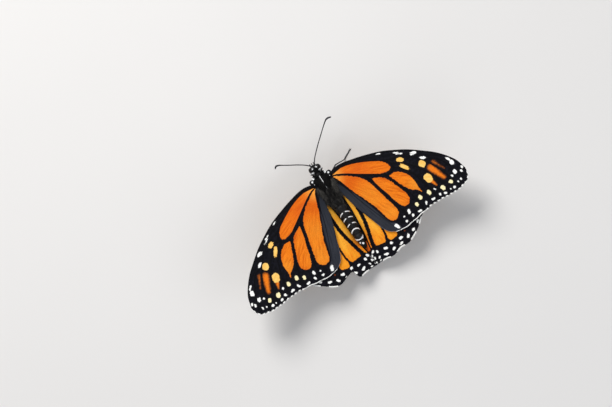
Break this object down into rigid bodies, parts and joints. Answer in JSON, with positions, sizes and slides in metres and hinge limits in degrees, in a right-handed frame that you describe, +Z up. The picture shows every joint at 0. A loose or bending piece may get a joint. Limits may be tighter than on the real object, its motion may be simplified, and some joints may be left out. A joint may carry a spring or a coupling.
{
  "type": "monarch butterfly model",
  "caption": "Life-size monarch butterfly standing on its middle and hind legs, orange and black wings spread flat and slightly raised, feelers forward.",
  "frame": {"origin": "on the floor, at the middle of the box round the whole butterfly, feelers and wings included", "axes": "+Z up, the butterfly faces -Y, +X to its left side, wingspan along X"},
  "size_m": [0.0967, 0.057, 0.0215],
  "materials": {
    "forewing": "satin",
    "hindwing": "satin",
    "body": "matte",
    "eye": "gloss",
    "antenna": "satin",
    "leg": "satin",
    "mouthpart": "satin"
  },
  "bodies": {
    "root": {"head": "body", "neck": "body", "thorax": "body", "abdomen": "body", "eye_left": "eye", "eye_right": "eye", "palp_left": "body", "palp_right": "body", "antenna_left": "antenna", "antenna_right": "antenna", "proboscis": "mouthpart", "tegula_left": "body", "tegula_right": "body", "forewing_left": "forewing", "forewing_right": "forewing", "hindwing_left": "hindwing", "hindwing_right": "hindwing", "fore_left_leg": "leg", "fore_right_leg": "leg", "mid_left_femur": "leg", "mid_left_tibia": "leg", "mid_left_tarsus": "leg", "mid_right_femur": "leg", "mid_right_tibia": "leg", "mid_right_tarsus": "leg", "hind_left_femur": "leg", "hind_left_tibia": "leg", "hind_left_tarsus": "leg", "hind_right_femur": "leg", "hind_right_tibia": "leg", "hind_right_tarsus": "leg"}
  },
  "joints": []
}
